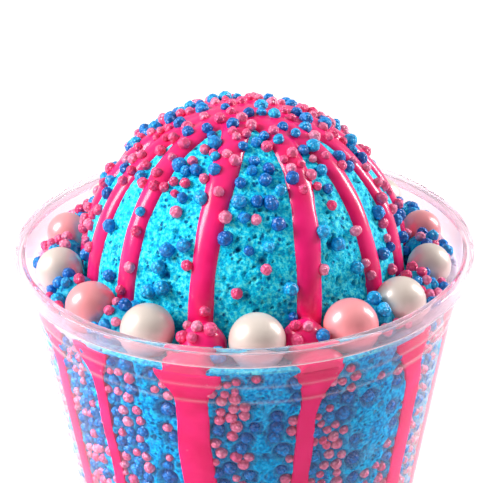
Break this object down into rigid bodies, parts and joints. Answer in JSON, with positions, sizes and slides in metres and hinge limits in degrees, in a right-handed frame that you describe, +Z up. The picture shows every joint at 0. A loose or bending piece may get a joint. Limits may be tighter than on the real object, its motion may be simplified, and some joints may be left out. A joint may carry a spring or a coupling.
{
  "type": "shaved ice dessert",
  "caption": "Shaved ice dome in a clear plastic cup, with glossy syrup stripes, bead sprinkles and a ring of round candy pearls in the moat under the rim.",
  "frame": {"origin": "centre of the cup's foot ring, on the surface that it stands on", "axes": "+Z up along the cup's axis; the side shown in the picture faces -Y"},
  "size_m": [0.098, 0.098, 0.1383],
  "materials": {
    "clear_cup": "clear thin plastic, glossy",
    "blue_ice": "porous wet shaved ice, bright blue",
    "pink_syrup": "thick glossy syrup, hot pink",
    "blue_bead": "small lumpy sugar beads, blue",
    "pink_bead": "small lumpy sugar beads, pink",
    "white_pearl": "smooth sugar shell with a pearly gloss, off-white",
    "pink_pearl": "smooth sugar shell with a pearly gloss, salmon pink"
  },
  "bodies": {
    "root": {"cup": "clear_cup", "ice": "blue_ice", "pearl_white_01": "white_pearl", "pearl_pink_02": "pink_pearl", "pearl_white_03": "white_pearl", "pearl_white_04": "white_pearl", "pearl_pink_05": "pink_pearl", "pearl_white_06": "white_pearl", "pearl_pink_07": "pink_pearl", "pearl_white_08": "white_pearl", "pearl_pink_09": "pink_pearl", "pearl_white_10": "white_pearl", "pearl_pink_11": "pink_pearl", "pearl_white_12": "white_pearl", "pearl_pink_13": "pink_pearl", "pearl_white_14": "white_pearl"}
  },
  "joints": []
}
